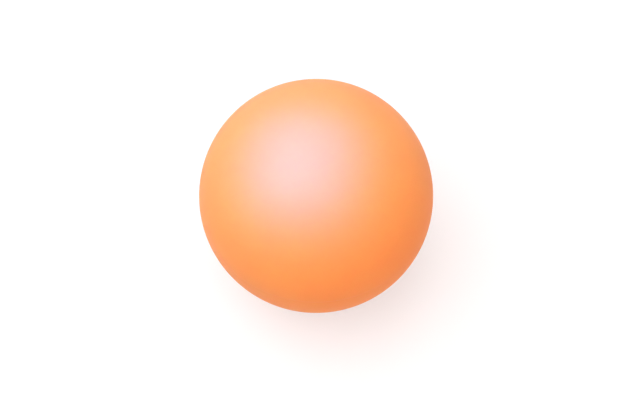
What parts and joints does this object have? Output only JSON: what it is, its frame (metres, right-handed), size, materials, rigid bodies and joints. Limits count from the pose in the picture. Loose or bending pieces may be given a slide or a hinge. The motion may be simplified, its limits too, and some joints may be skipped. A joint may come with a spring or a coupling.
{
  "type": "table tennis ball",
  "caption": "Hollow sealed 40 mm orange plastic ball for table tennis, of moulded half shells lapped and cemented at a seam round the middle.",
  "frame": {"origin": "centre of the ball", "axes": "+Z through the pole of the upper half shell, the one with the tongue; the seam lies in the XY plane; X and Y are alike, because the ball is round about Z"},
  "size_m": [0.04, 0.04, 0.04],
  "materials": {
    "orange_shell": "satin",
    "seam_cement": "satin"
  },
  "bodies": {
    "root": {"upper_half_shell": "orange_shell", "lower_half_shell": "orange_shell", "seam_cement": "seam_cement"}
  },
  "joints": []
}
